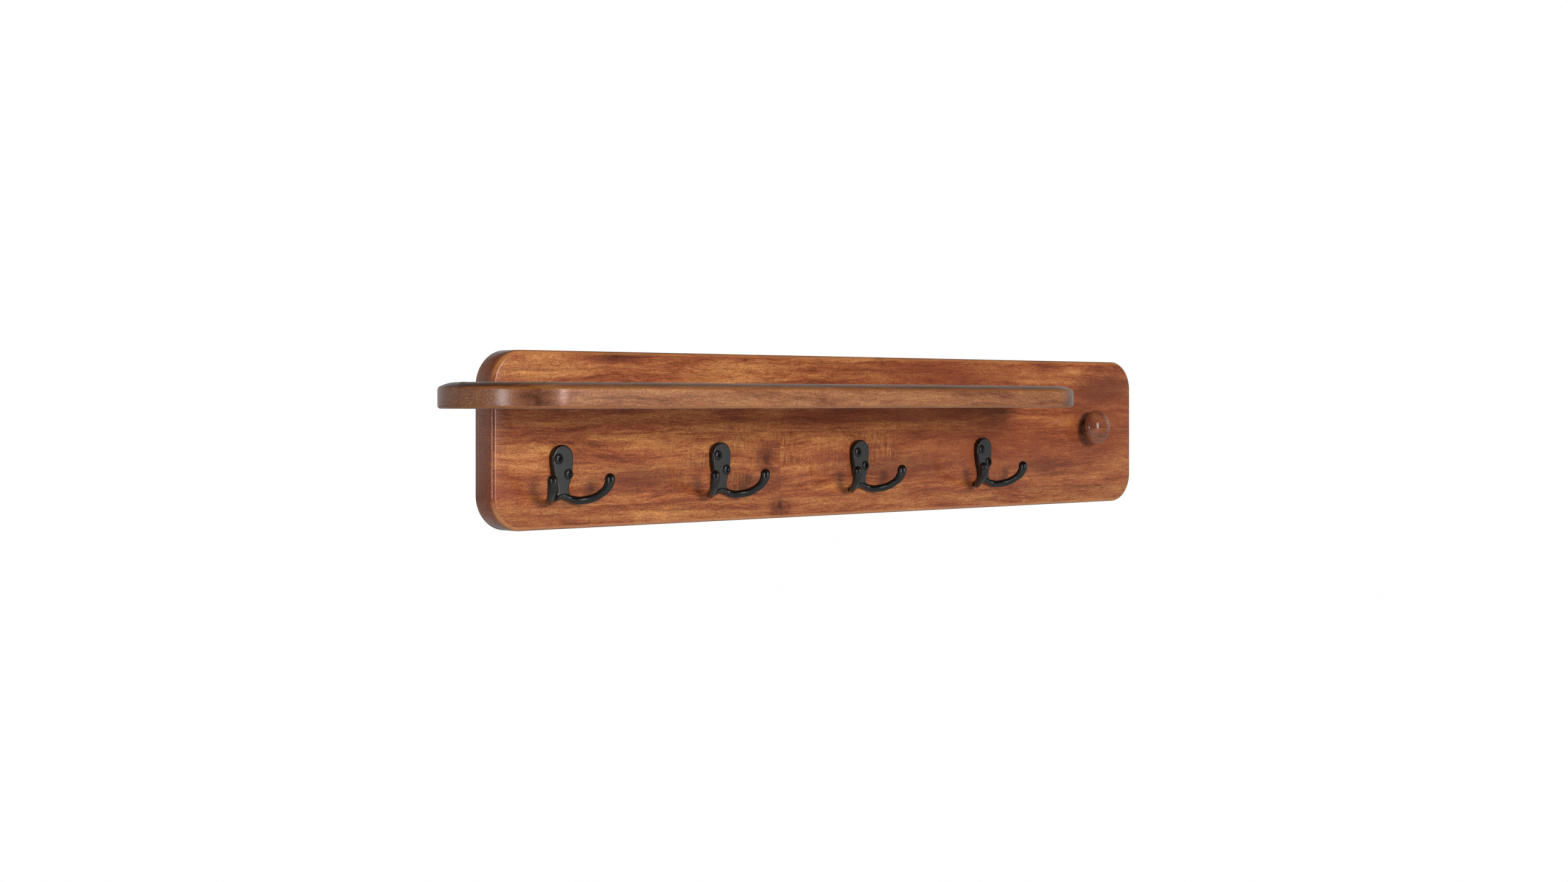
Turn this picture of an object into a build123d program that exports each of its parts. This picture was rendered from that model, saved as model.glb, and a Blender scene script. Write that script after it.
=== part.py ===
"""Shaker peg rail with a shelf: cast double hooks and a turned knob on a solid wood board.

Lengths are in millimetres and +Z is up. The back of the board lies on the wall, in the
plane Y = 0, with its centre at the origin. +X runs to the right along the wall and the
rail stands out towards -Y. Most pieces are drawn on Plane.XZ, whose local axes are right,
up and out from the wall.
"""

import os

from build123d import *

os.makedirs("parts", exist_ok=True)

# ----------------------------------------------------------------------------------------
# Driving dimensions
# ----------------------------------------------------------------------------------------

# Backboard, a panel glued up from staves
board_length = 740.0
board_height = 130.0
board_thickness = 20.0
board_corner_radius = 26.0
board_front_round = 3.0

# Shelf, with both ends fully round in plan
shelf_length = 623.0
shelf_depth = 112.0
shelf_thickness = 18.0
shelf_end_overhang = 73.0
shelf_top_below_board_top = 24.0
shelf_top_bevel_width = 8.0
shelf_top_bevel_drop = 3.5
shelf_bottom_chamfer = 1.5

# Row of double hooks
hook_count = 4
hook_pitch = 155.0
hook_from_left = 60.0
hook_above_bottom = 17.5

# One cast hook: a plate with an egg-shaped outline that ends in two feet. Points on the
# outline are given sideways and up from the hook's lowest point.
plate_thickness = 5.0
plate_height = 44.0
plate_top_radius = 9.5
plate_waist = (5.3, 10.4)
plate_foot_top = (9.4, 7.0)
plate_foot_tip = (11.6, 1.6)
plate_arch_height = 4.8
hook_screw_side = 4.5
hook_screw_upper_height = 33.9
hook_screw_lower_height = 22.7
hook_screw_hole_radius = 2.0

# Centre line of one prong: sideways, up from the hook's lowest point, out from the board
prong_root = (0.0, 7.6, 2.9)
prong_foot = (8.6, 4.0, 4.5)
prong_low = (14.8, 3.0, 8.3)
prong_rise = (24.1, 9.4, 22.4)
prong_upright = (26.0, 16.4, 26.2)
prong_tip = (26.0, 23.4, 26.9)
prong_tip_lean = 0.12
prong_radius = 2.9
prong_runs = 6

# Turned knob: its tenon, neck, flare, rim and the two bevels of its crown
knob_from_left = 672.0
knob_above_bottom = 69.5
knob_height = 22.4
knob_tenon_radius = 5.5
knob_tenon_length = 14.0
knob_neck_radius = 7.6
knob_neck_height = 8.6
knob_rim_radius = 15.7
knob_rim_start = 10.0
knob_rim_end = 13.0
knob_shoulder_radius = 12.0
knob_shoulder_height = 19.0
knob_crown_radius = 6.0

# Keyhole slots routed in the back, for the heads of two wall screws
keyhole_spacing = 406.4
keyhole_below_board_top = 40.0
keyhole_entry_radius = 5.0
keyhole_slot_width = 5.0
keyhole_slot_rise = 11.0
keyhole_lip = 4.0
keyhole_depth = 10.0

# Clearances
grip_clearance = 0.05
hole_bottom_clearance = 1.0

# ----------------------------------------------------------------------------------------
# Places worked out from the driving dimensions
# ----------------------------------------------------------------------------------------

board_left = -board_length / 2
board_bottom = -board_height / 2
board_top = board_height / 2

shelf_top = board_top - shelf_top_below_board_top
shelf_bottom = shelf_top - shelf_thickness
shelf_centre_x = board_left - shelf_end_overhang + shelf_length / 2
shelf_centre_y = -board_thickness - shelf_depth / 2

hook_base = board_bottom + hook_above_bottom
hook_xs = [board_left + hook_from_left + hook_pitch * n for n in range(hook_count)]
hook_screw_places = [
    (-hook_screw_side, hook_screw_upper_height),
    (hook_screw_side, hook_screw_lower_height),
]

knob_x = board_left + knob_from_left
knob_z = board_bottom + knob_above_bottom
knob_section = Plane(origin=(knob_x, -board_thickness, knob_z), x_dir=(0, -1, 0), z_dir=(1, 0, 0))

keyhole_z = board_top - keyhole_below_board_top
keyhole_places = [(side * keyhole_spacing / 2, keyhole_z) for side in (-1, 1)]


def save(piece, name):
    """Label a finished piece and write its file."""
    piece.part.label = name
    export_step(piece.part, f"parts/{name}.step")


# ----------------------------------------------------------------------------------------
# Backboard
# ----------------------------------------------------------------------------------------

with BuildPart(Plane.XZ) as backboard:
    with BuildSketch(Plane.XZ):
        RectangleRounded(board_length, board_height, board_corner_radius)
    extrude(amount=board_thickness)
    fillet(backboard.faces().sort_by(Axis.Y)[0].edges(), board_front_round)

    # Socket for the knob's tenon, from the front
    with Locations((knob_x, knob_z, board_thickness)):
        Hole(knob_tenon_radius + grip_clearance, knob_tenon_length + hole_bottom_clearance)

    # Keyholes: an entry and a slot through the lip, then a wider way for the screw's head
    with BuildSketch(Plane.XZ):
        with Locations(*keyhole_places):
            Circle(keyhole_entry_radius)
        with Locations(*[(x, z + keyhole_slot_rise / 2) for x, z in keyhole_places]):
            SlotCenterToCenter(keyhole_slot_rise, keyhole_slot_width, 90)
    extrude(amount=keyhole_lip, mode=Mode.SUBTRACT)
    with BuildSketch(Plane.XZ.offset(keyhole_lip)):
        with Locations(*[(x, z + keyhole_slot_rise / 2) for x, z in keyhole_places]):
            SlotCenterToCenter(keyhole_slot_rise, 2 * keyhole_entry_radius, 90)
    extrude(amount=keyhole_depth - keyhole_lip, mode=Mode.SUBTRACT)
save(backboard, "backboard")

# ----------------------------------------------------------------------------------------
# Shelf
# ----------------------------------------------------------------------------------------

with BuildPart(Plane.XZ) as shelf:
    with BuildSketch(Plane((shelf_centre_x, shelf_centre_y, shelf_bottom))):
        SlotOverall(shelf_length, shelf_depth)
    extrude(amount=shelf_thickness)
    shelf_top_face = shelf.faces().sort_by(Axis.Z)[-1]
    chamfer(
        shelf_top_face.edges(),
        shelf_top_bevel_width,
        shelf_top_bevel_drop,
        reference=shelf_top_face,
    )
    chamfer(shelf.faces().sort_by(Axis.Z)[0].edges(), shelf_bottom_chamfer)

    # The back edge stays square where it is glued to the board
    with BuildSketch(Plane((shelf_centre_x, -board_thickness, shelf_bottom))):
        Rectangle(
            shelf_length - shelf_depth, shelf_top_bevel_width, align=(Align.CENTER, Align.MAX)
        )
    extrude(amount=shelf_thickness)
save(shelf, "shelf")

# ----------------------------------------------------------------------------------------
# Cast double hooks
# ----------------------------------------------------------------------------------------


def draw_half_plate():
    """Right half of the plate's outline, from the top down to the arch between the feet."""
    shoulder = (plate_top_radius, plate_height - plate_top_radius)
    flank = ((shoulder[0] + plate_waist[0]) / 2, (shoulder[1] + plate_waist[1]) / 2)
    CenterArc((0, shoulder[1]), plate_top_radius, 0, 90)
    TangentArc(shoulder, flank, tangent=(0, -1))
    TangentArc(plate_waist, flank, tangent=(0, 1))
    TangentArc(plate_waist, plate_foot_top, tangent=(0, -1))
    Line(plate_foot_top, plate_foot_tip)
    TangentArc((0, plate_arch_height), plate_foot_tip, tangent=(1, 0))


# One hook, with its back on Plane.XZ and its lowest point at the origin's height
with BuildPart(Plane.XZ) as double_hook:
    # Right prong: a round rod along a centre line of short straight runs
    with BuildLine(Plane.XZ, mode=Mode.PRIVATE):
        centre_line = Spline(
            prong_root,
            prong_foot,
            prong_low,
            prong_rise,
            prong_upright,
            prong_tip,
            tangents=[(1, 0, 0), (prong_tip_lean, 1, prong_tip_lean)],
        )
    with BuildLine() as prong_path:
        Polyline(*[centre_line @ (run / prong_runs) for run in range(prong_runs + 1)])
    with BuildSketch(Plane(origin=prong_path.line @ 0, z_dir=prong_path.line % 0)):
        Circle(prong_radius)
    sweep(path=prong_path.line, transition=Transition.RIGHT)
    mirror(about=Plane.YZ)

    # Plate, with clearance holes for its two screws
    with BuildSketch(Plane.XZ) as plate_outline:
        with BuildLine():
            draw_half_plate()
            mirror(about=Plane.YZ)
        make_face()
    extrude(amount=plate_thickness)
    with Locations(*[(x, y, plate_thickness) for x, y in hook_screw_places]):
        Hole(hook_screw_hole_radius, plate_thickness)

for number, hook_x in enumerate(hook_xs, start=1):
    with BuildPart() as hook:
        with Locations((hook_x, -board_thickness, hook_base)):
            add(double_hook.part)
    save(hook, f"hook_{number}")

# ----------------------------------------------------------------------------------------
# Turned knob
# ----------------------------------------------------------------------------------------

with BuildPart() as knob:
    with BuildSketch(knob_section):
        with BuildLine():
            Polyline(
                (-knob_tenon_length, 0),
                (-knob_tenon_length, knob_tenon_radius),
                (0, knob_tenon_radius),
                (0, knob_neck_radius),
                (knob_neck_height, knob_neck_radius),
                (knob_rim_start, knob_rim_radius),
                (knob_rim_end, knob_rim_radius),
                (knob_shoulder_height, knob_shoulder_radius),
                (knob_height, knob_crown_radius),
                (knob_height, 0),
                close=True,
            )
        make_face()
    revolve(axis=Axis(knob_section.origin, knob_section.x_dir))
save(knob, "knob")
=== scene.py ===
"""Looks of a shaker peg rail with a shelf: lacquered acacia, cast black double hooks and a
turned knob.

Lengths are in metres. The board's back lies in the plane Y = 0 with its centre at the
origin, +X runs to the right along the wall and the rail stands out towards -Y.
"""

import math
import random
from types import SimpleNamespace

import bmesh
import bpy
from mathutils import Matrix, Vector


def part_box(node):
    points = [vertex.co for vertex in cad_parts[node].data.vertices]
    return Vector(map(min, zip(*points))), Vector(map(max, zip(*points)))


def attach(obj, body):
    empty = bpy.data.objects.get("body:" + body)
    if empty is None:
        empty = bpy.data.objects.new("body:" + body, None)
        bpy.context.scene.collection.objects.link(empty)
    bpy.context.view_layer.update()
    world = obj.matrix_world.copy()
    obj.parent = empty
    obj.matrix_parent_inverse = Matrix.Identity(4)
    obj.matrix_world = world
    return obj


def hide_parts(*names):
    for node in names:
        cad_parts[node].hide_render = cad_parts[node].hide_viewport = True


bl_info = {
    "name": "Shaker peg rail with shelf",
    "version": (1, 0, 0),
    "blender": (4, 5, 0),
    "location": "3D View > Sidebar > Peg Rail",
    "description": "Builds a wooden peg rail with a shelf, double hooks and a knob",
    "category": "Object",
}

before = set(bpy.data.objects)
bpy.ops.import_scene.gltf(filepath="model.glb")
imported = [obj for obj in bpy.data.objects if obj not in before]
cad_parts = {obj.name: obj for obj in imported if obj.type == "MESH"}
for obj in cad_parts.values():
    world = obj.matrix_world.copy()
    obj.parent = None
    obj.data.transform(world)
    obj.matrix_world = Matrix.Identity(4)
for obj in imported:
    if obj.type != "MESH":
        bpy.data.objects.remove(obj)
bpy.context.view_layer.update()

MM = 0.001
HOOK_NODES = sorted(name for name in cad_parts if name.startswith("hook_"))
BOARD_LOW, BOARD_HIGH = (Vector(corner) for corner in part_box("backboard"))
SHELF_LOW, SHELF_HIGH = (Vector(corner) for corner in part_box("shelf"))
KNOB_LOW, KNOB_HIGH = (Vector(corner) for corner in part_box("knob"))
BOARD_FRONT = BOARD_LOW.y


# ----------------------------------------------------------------------------------------
# Sizes and colours that can be changed
# ----------------------------------------------------------------------------------------


def length(name, description, millimetres):
    """A length property with its default given in millimetres."""
    return bpy.props.FloatProperty(
        name=name, description=description, default=millimetres * MM, unit="LENGTH", min=0
    )


def colour(name, description, hex_value):
    """A colour property with its default given as an sRGB hex value."""
    return bpy.props.FloatVectorProperty(
        name=name,
        description=description,
        default=linear(hex_value)[:3],
        subtype="COLOR",
        size=3,
        min=0,
        max=1,
    )


def linear(hex_value):
    """Turn an sRGB hex value such as "a06030" into a linear colour with alpha."""
    levels = [int(hex_value[at : at + 2], 16) / 255 for at in (0, 2, 4)]
    straight = [c / 12.92 if c <= 0.04045 else ((c + 0.055) / 1.055) ** 2.4 for c in levels]
    return (*straight, 1.0)


class BoardSettings(bpy.types.PropertyGroup):
    """Sizes of the backboard and of what is cut into its back."""

    corner_radius: length("Corner radius", "Radius of the board's four corners", 26.0)
    front_round: length("Front round", "Radius of the round along the front edge", 3.0)
    back_ease: length("Back ease", "Width of the eased edge at the wall", 0.5)
    keyhole_spacing: length("Keyhole spacing", "Distance between the two keyholes", 406.4)
    keyhole_below_top: length("Keyhole below top", "Entry centre below the top edge", 40.0)
    keyhole_entry_radius: length("Keyhole entry", "Radius of the entry and the way", 5.0)
    keyhole_slot_radius: length("Keyhole slot", "Half the width of the slot", 2.5)
    keyhole_rise: length("Keyhole rise", "How far the slot runs up from the entry", 11.0)
    keyhole_lip: length("Keyhole lip", "Thickness of the lip behind the screw head", 4.0)
    keyhole_depth: length("Keyhole depth", "Depth of the way", 10.0)
    screw_head_radius: length("Screw head", "Radius of a shelf screw's head", 4.2)
    screw_head_height: length("Screw head height", "Depth of the countersink", 2.6)
    screw_recess: length("Screw recess", "Depth of a shelf screw's head in the wood", 0.4)


class ShelfSettings(bpy.types.PropertyGroup):
    """Sizes of the shelf's edges."""

    bevel_width: length("Bevel width", "Width of the soft bevel along the top edge", 8.0)
    bevel_drop: length("Bevel drop", "Height of the soft bevel along the top edge", 3.5)
    lip_round: length("Lip round", "Radius of the round where the bevel meets the edge", 1.6)
    bottom_round: length("Bottom round", "Radius of the round along the bottom edge", 2.2)
    screw_inset: length("Screw inset", "Shelf screws from the ends of the joint", 40.0)


class HookSettings(bpy.types.PropertyGroup):
    """Sizes of one cast double hook and its screws."""

    plate_height: length("Plate height", "Height of the hook's plate", 44.0)
    plate_thickness: length("Plate thickness", "Thickness of the hook's plate", 5.0)
    plate_top_radius: length("Plate top radius", "Radius of the plate's round top", 9.5)
    plate_edge: length("Plate edge", "Width of the eased front edge", 1.0)
    grain: length("Casting grain", "Size of the cells that the casting is built from", 0.38)
    screw_radius: length("Screw radius", "Radius of a hook screw's head", 3.85)
    screw_height: length("Screw height", "Height of a hook screw's domed head", 1.5)
    screw_side: length("Screw side", "Screws sideways from the middle of the plate", 4.5)
    screw_upper: length("Upper screw", "Upper screw above the hook's lowest point", 33.9)
    screw_lower: length("Lower screw", "Lower screw above the hook's lowest point", 22.7)


class FinishSettings(bpy.types.PropertyGroup):
    """Colours of the wood and of the coating."""

    acacia_dark: colour("Acacia dark", "Dark streaks of the board", "562819")
    acacia_middle: colour("Acacia middle", "Ground colour of the board", "934f2f")
    acacia_light: colour("Acacia light", "Golden wood of the board", "be7f4a")
    shelf_dark: colour("Shelf dark", "Dark streaks of the shelf", "5a3420")
    shelf_middle: colour("Shelf middle", "Ground colour of the shelf", "8f593b")
    shelf_light: colour("Shelf light", "Light streaks of the shelf", "b27d52")
    knob_dark: colour("Knob dark", "Dark grain of the knob", "482012")
    knob_middle: colour("Knob middle", "Ground colour of the knob", "7c4228")
    knob_light: colour("Knob light", "Light grain of the knob", "9c5f3c")
    coat: colour("Black coat", "Powder coat of the hooks and screws", "080808")


SETTINGS = {
    "rail_board": BoardSettings,
    "rail_shelf": ShelfSettings,
    "rail_hook": HookSettings,
    "rail_finish": FinishSettings,
}

# ----------------------------------------------------------------------------------------
# Modelling helpers
# ----------------------------------------------------------------------------------------


def only(piece):
    """Select one piece and make it active."""
    bpy.ops.object.select_all(action="DESELECT")
    piece.select_set(True)
    bpy.context.view_layer.objects.active = piece
    return piece


def edit(piece, kind="VERT"):
    """Open a piece in edit mode with nothing selected."""
    only(piece)
    bpy.ops.object.mode_set(mode="EDIT")
    bpy.ops.mesh.select_mode(type=kind)
    bpy.ops.mesh.select_all(action="DESELECT")


def done():
    """Leave edit mode and give back the piece."""
    bpy.ops.object.mode_set(mode="OBJECT")
    return bpy.context.object


def pick(kind, test):
    """Select the vertices, edges or faces that pass a test, and nothing else."""
    bpy.ops.mesh.select_all(action="DESELECT")
    mesh = bpy.context.object.data
    shape = bmesh.from_edit_mesh(mesh)
    for item in getattr(shape, kind):
        if test(item):
            item.select_set(True)
    shape.select_flush_mode()
    bmesh.update_edit_mesh(mesh)


def middle(item):
    """Centre of an edge or a face."""
    return sum((v.co for v in item.verts), Vector()) / len(item.verts)


def all_at(item, axis, place, slack=1e-5):
    """Whether all the corners of an edge or a face lie at one place along an axis."""
    return all(abs(v.co[axis] - place) < slack for v in item.verts)


def settle(piece):
    """Put the object's place, turn and size into its mesh."""
    only(piece)
    bpy.ops.object.transform_apply(location=True, rotation=True, scale=True)
    return piece


def block(low, high):
    """A cube primitive that fills the box from low to high."""
    low, high = Vector(low), Vector(high)
    bpy.ops.mesh.primitive_cube_add(size=1, location=(low + high) / 2, scale=high - low)
    return settle(bpy.context.object)


def rod(radius, low_y, high_y, x, z, sides=32, end_radius=None):
    """A round bar along Y, or a cone where its end at low_y has another radius."""
    bpy.ops.mesh.primitive_cone_add(
        vertices=sides,
        radius1=radius if end_radius is None else end_radius,
        radius2=radius,
        depth=high_y - low_y,
        location=(x, (low_y + high_y) / 2, z),
        rotation=(-math.pi / 2, 0, 0),
    )
    return settle(bpy.context.object)


def finish_modifier(piece, kind, **settings):
    """Add a modifier with its settings and apply it."""
    only(piece)
    modifier = piece.modifiers.new(kind.title(), kind)
    for name, value in settings.items():
        setattr(modifier, name, value)
    bpy.ops.object.modifier_apply(modifier=modifier.name)


def cut(piece, cutter):
    """Cut one shape out of a piece and throw the cutter away."""
    finish_modifier(piece, "BOOLEAN", object=cutter, operation="DIFFERENCE", solver="EXACT")
    bpy.data.objects.remove(cutter)


def joined(pieces):
    """Join several pieces into the first one."""
    only(pieces[0])
    for piece in pieces[1:]:
        piece.select_set(True)
    bpy.ops.object.join()
    return bpy.context.object


def smooth(piece, degrees=35):
    """Shade a piece smoothly up to an angle between its faces."""
    only(piece)
    bpy.ops.object.shade_smooth_by_angle(angle=math.radians(degrees))


def copy_to(piece, name, place):
    """Copy a piece with its own mesh, moved to a place that goes into the mesh."""
    only(piece)
    bpy.ops.object.duplicate(linked=False)
    twin = bpy.context.object
    twin.name = twin.data.name = name
    twin.location = place
    return settle(twin)


def hand_over(piece, name, material, node=None):
    """Name a finished piece, give it its material and tell the frame what it is."""
    piece.name = piece.data.name = name
    piece.data.materials.clear()
    piece.data.materials.append(material)
    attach(piece, "root")
    if node:
        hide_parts(node)


# ----------------------------------------------------------------------------------------
# Materials
# ----------------------------------------------------------------------------------------

WHITE, BLACK = (1, 1, 1, 1), (0, 0, 0, 1)
# A Math node that stretches a value by a factor and an offset, and keeps it from 0 to 1
STRETCH = {"operation": "MULTIPLY_ADD", "use_clamp": True}


def connect(tree, node, inputs):
    """Set a node's inputs, by name or in order, to values or to outputs of other nodes."""
    pairs = inputs.items() if isinstance(inputs, dict) else enumerate(inputs)
    for name, value in pairs:
        if isinstance(value, bpy.types.NodeSocket):
            tree.links.new(value, node.inputs[name])
        else:
            node.inputs[name].default_value = value


def add(tree, kind, inputs=(), out=0, stops=(), **settings):
    """Add a shader node with its settings, its colour stops and its inputs.

    Gives back the output named or numbered by out, or the node where out is None.
    """
    node = tree.nodes.new("ShaderNode" + kind)
    for name, value in settings.items():
        setattr(node, name, value)
    if stops:
        band = node.color_ramp.elements
        while len(band) < len(stops):
            band.new(0.5)
        for element, (place, shade) in zip(band, stops):
            element.position = place
            element.color = shade
    connect(tree, node, inputs)
    return node if out is None else node.outputs[out]


def new_material(name):
    """A material with an empty surface shader, its tree and the shader."""
    material = bpy.data.materials.new(name)
    material.use_nodes = True
    return material, material.node_tree, material.node_tree.nodes["Principled BSDF"]


def shade_of(rgb, factor=1.0):
    """A colour property's value as a linear colour with alpha, lighter or darker by a factor."""
    return (*(min(1.0, level * factor) for level in rgb), 1.0)


def per_metre(size):
    """How many cells of a size in millimetres lie in a metre, as a pattern's scale."""
    return 1 / (size * MM)


def grain_noise(tree, vector, run, across, detail, roughness):
    """Noise whose cells are run millimetres along X and across millimetres over it."""
    scale = (per_metre(run), per_metre(across), per_metre(across))
    cells = add(tree, "Mapping", {"Vector": vector, "Scale": scale})
    inputs = {"Vector": cells, "Scale": 1.0, "Detail": detail, "Roughness": roughness}
    return add(tree, "TexNoise", inputs)


def spot(tree, place, x, z, wide, high):
    """1 in the middle of an oval seen from the front, falling to 0 at its edge.

    It reaches a kilometre in depth, so that only across and up count.
    """
    middle_at, reach = (x * MM, 0, z * MM), (wide * MM, 1000, high * MM)
    inputs = {"Vector": place, "Location": middle_at, "Scale": reach}
    local = add(tree, "Mapping", inputs, vector_type="TEXTURE")
    distance = add(tree, "VectorMath", (local,), out="Value", operation="LENGTH")
    return add(tree, "Math", (1.0, distance), operation="SUBTRACT", use_clamp=True)


def nearest(tree, place, ovals):
    """1 in the middle of any of several ovals, falling to 0 at the edge of each."""
    reach = 0.0
    for oval in ovals:
        reach = add(tree, "Math", (reach, spot(tree, place, *oval)), operation="MAXIMUM")
    return reach


# The layers of a wood. A wood holds its tree, its coordinates, its normal and its colours,
# and each layer says where it lies, how strong it is, its colour and how it is mixed in.


def numbered_staves(wood, joints, ends):
    """A number for each stave, with joints along the board and ends across it.

    Past an end the number is 0.37 higher, so that the wood differs there too.
    """
    tree, stave = wood.tree, 0.0
    for joint in joints:
        above = add(tree, "Math", (wood.z, joint * MM), operation="GREATER_THAN")
        stave = add(tree, "Math", (stave, above), operation="ADD")
    for end, low, high in ends:
        above = add(tree, "Math", (wood.z, low * MM), operation="GREATER_THAN")
        under = add(tree, "Math", (wood.z, high * MM), operation="LESS_THAN")
        inside = add(tree, "Math", (above, under), operation="MULTIPLY")
        beyond = add(tree, "Math", (wood.x, end * MM), operation="GREATER_THAN")
        beyond = add(tree, "Math", (inside, beyond), operation="MULTIPLY")
        beyond = add(tree, "Math", (beyond, 0.37), operation="MULTIPLY")
        stave = add(tree, "Math", (stave, beyond), operation="ADD")
    return stave


def plum_lines(wood):
    """Plum lines, 1 to 3 mm high, that run a long way through the wood."""
    lines = grain_noise(wood.tree, wood.grain, 150, 3.4, 2, 0.5)
    lines = add(wood.tree, "Math", (lines, 7.0, -4.0), **STRETCH)
    return [(lines, 0.5, wood.dark, "MIX")]


def cloud_layers(wood, clouds):
    """Ragged clouds of red and of plum wood, each at its own place on the board."""
    tree, layers = wood.tree, []
    for shade, ovals in clouds:
        reach = nearest(tree, wood.place, ovals)
        swell = add(tree, "Math", (reach, 1.8), operation="MULTIPLY")
        share = add(tree, "Math", (wood.broken, 2.0, swell), operation="MULTIPLY_ADD")
        share = add(tree, "Math", (share, -1.3), operation="ADD", use_clamp=True)
        fade = add(tree, "Math", (reach, 1.6), operation="MULTIPLY", use_clamp=True)
        share = add(tree, "Math", (share, fade), operation="MULTIPLY")
        layers.append((share, 0.6, linear(shade), "MIX"))
    return layers


def curl_layers(wood, patches):
    """Bars of curl, 1 to 3 mm wide, that cross the grain in patches."""
    if not patches:
        return []
    tree = wood.tree
    scale = [per_metre(size) for size in (1.923, 16.67, 13.33)]
    bars = add(tree, "Mapping", {"Vector": wood.grain, "Scale": scale})
    inputs = {"Vector": bars, "Scale": 1.0, "Detail": 3, "Roughness": 0.7}
    bars = add(tree, "TexNoise", inputs)
    bars = add(tree, "Math", (bars, 4.5, -1.9), **STRETCH)
    patch = grain_noise(tree, wood.log, 26, 12, 2, 0.5)
    patch = add(tree, "Math", (patch, 6.0, -2.6), **STRETCH)
    reach = nearest(tree, wood.place, patches)
    reach = add(tree, "Math", (reach, 2.0), operation="MULTIPLY", use_clamp=True)
    reach = add(tree, "Math", (reach, patch), operation="MULTIPLY")
    lit = add(tree, "Math", (reach, bars), operation="MULTIPLY")
    between = add(tree, "Math", (1.0, bars), operation="SUBTRACT")
    dull = add(tree, "Math", (reach, between), operation="MULTIPLY")
    return [(lit, 0.45, wood.light, "MIX"), (dull, 0.35, wood.dark, "MIX")]


def knot_layers(wood, knots):
    """Knots: a dark ragged patch, and in it thin cracks that run round the eye."""
    tree, layers = wood.tree, []
    inputs = {"Vector": wood.place, "Scale": per_metre(9.09), "Detail": 4.0}
    crumple = add(tree, "TexNoise", inputs, out="Color")
    # The patch's outline is pushed up to 7 mm either way
    reach = (14 * MM, 0, 14 * MM)
    warped = add(tree, "VectorMath", (crumple, reach, wood.place), operation="MULTIPLY_ADD")
    back = (-7 * MM, 0, -7 * MM)
    warped = add(tree, "VectorMath", (warped, back), operation="ADD")
    gaps = add(tree, "Math", (wood.broken, 5.0, -2.0), **STRETCH)
    for knot in knots:
        eye = spot(tree, warped, *knot)
        # The crack runs where the patch has risen to 0.42
        crack = add(tree, "Math", (eye, 0.42), operation="SUBTRACT")
        crack = add(tree, "Math", (crack,), operation="ABSOLUTE")
        crack = add(tree, "Math", (crack, -20.0, 1.0), **STRETCH)
        crack = add(tree, "Math", (crack, gaps), operation="MULTIPLY")
        heart = add(tree, "Math", (eye, 5.0, -3.6), **STRETCH)
        crack = add(tree, "Math", (crack, heart), operation="MAXIMUM")
        layers += [(eye, 0.9, wood.dark, "MIX"), (crack, 0.6, wood.deep, "MIX")]
    return layers


def end_grain(wood, turn, end_tint):
    """Painted shade, redder and darker, where a face turns away round a curve, and dark speckled
    end grain across the log.
    """
    tree = wood.tree
    facing = add(tree, "Math", (wood.normal_x,), operation="ABSOLUTE")
    # Painted shade: a ramp over how far the face has turned towards the side, darkest part way
    # round
    stops = [(0.12, WHITE), (0.42, linear("9c8681")), (0.80, WHITE)]
    painted_turn_shade = add(tree, "ValToRGB", (facing,), stops=stops)
    facing = add(tree, "Math", (facing, 2.5, -1.1), **STRETCH)
    scale = per_metre(1.111)
    inputs = {"Vector": wood.place, "Scale": scale, "Detail": 3, "Roughness": 0.75}
    speckle = add(tree, "TexNoise", inputs)
    stops = [
        (at, (*(level * tint for level, tint in zip(shade, end_tint)), 1))
        for at, shade in ((0.42, wood.dark), (0.60, wood.mid), (0.72, wood.light))
    ]
    speckled = add(tree, "ValToRGB", (speckle,), stops=stops)
    return [(1.0, turn, painted_turn_shade, "MULTIPLY"), (facing, 0.8, speckled, "MIX")]


def painted_edge_highlights(wood, glow, edge):
    """Painted highlight: a golden band where the lacquer wraps round an edge."""
    tree = wood.tree
    bend = add(tree, "Math", (wood.normal_z,), operation="ABSOLUTE")
    stops = [(0.08, BLACK), (0.35, WHITE), (0.72, WHITE), (0.88, BLACK)]
    band = add(tree, "ValToRGB", (bend,), stops=stops)
    outward = add(tree, "Math", (wood.normal_y,), operation="ABSOLUTE")
    outward = add(tree, "Math", (outward, 2.5), operation="MULTIPLY", use_clamp=True)
    share = add(tree, "Math", (band, outward), operation="MULTIPLY")
    return [(share, glow, edge, "MIX")]


def painted_top_shade(wood, top):
    """Painted shade: faces that look up are darker and duller."""
    upward = add(wood.tree, "Math", (wood.normal_z, 12.0, -10.0), **STRETCH)
    return [(upward, 0.3, top, "MIX")]


def painted_neck_shade(wood, rim_y):
    """Painted shade in the neck of a turned piece, darker from its rim towards the board."""
    reach = {"From Min": rim_y, "From Max": rim_y + 2 * MM, "To Min": 1.0, "To Max": 0.35}
    neck_shade = add(wood.tree, "MapRange", {"Value": wood.y, **reach})
    return [(1.0, 1.0, neck_shade, "MULTIPLY")]


def glue_lines(wood, joints):
    """Dark lines, 0.4 mm high, where the staves are glued."""
    tree, layers = wood.tree, []
    for joint in joints:
        line = add(tree, "Math", (wood.z, joint * MM), operation="SUBTRACT")
        line = add(tree, "Math", (line,), operation="ABSOLUTE")
        line = add(tree, "Math", (line, 0.2 * MM), operation="LESS_THAN")
        layers.append((line, 0.35, wood.dark, "MIX"))
    return layers


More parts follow.
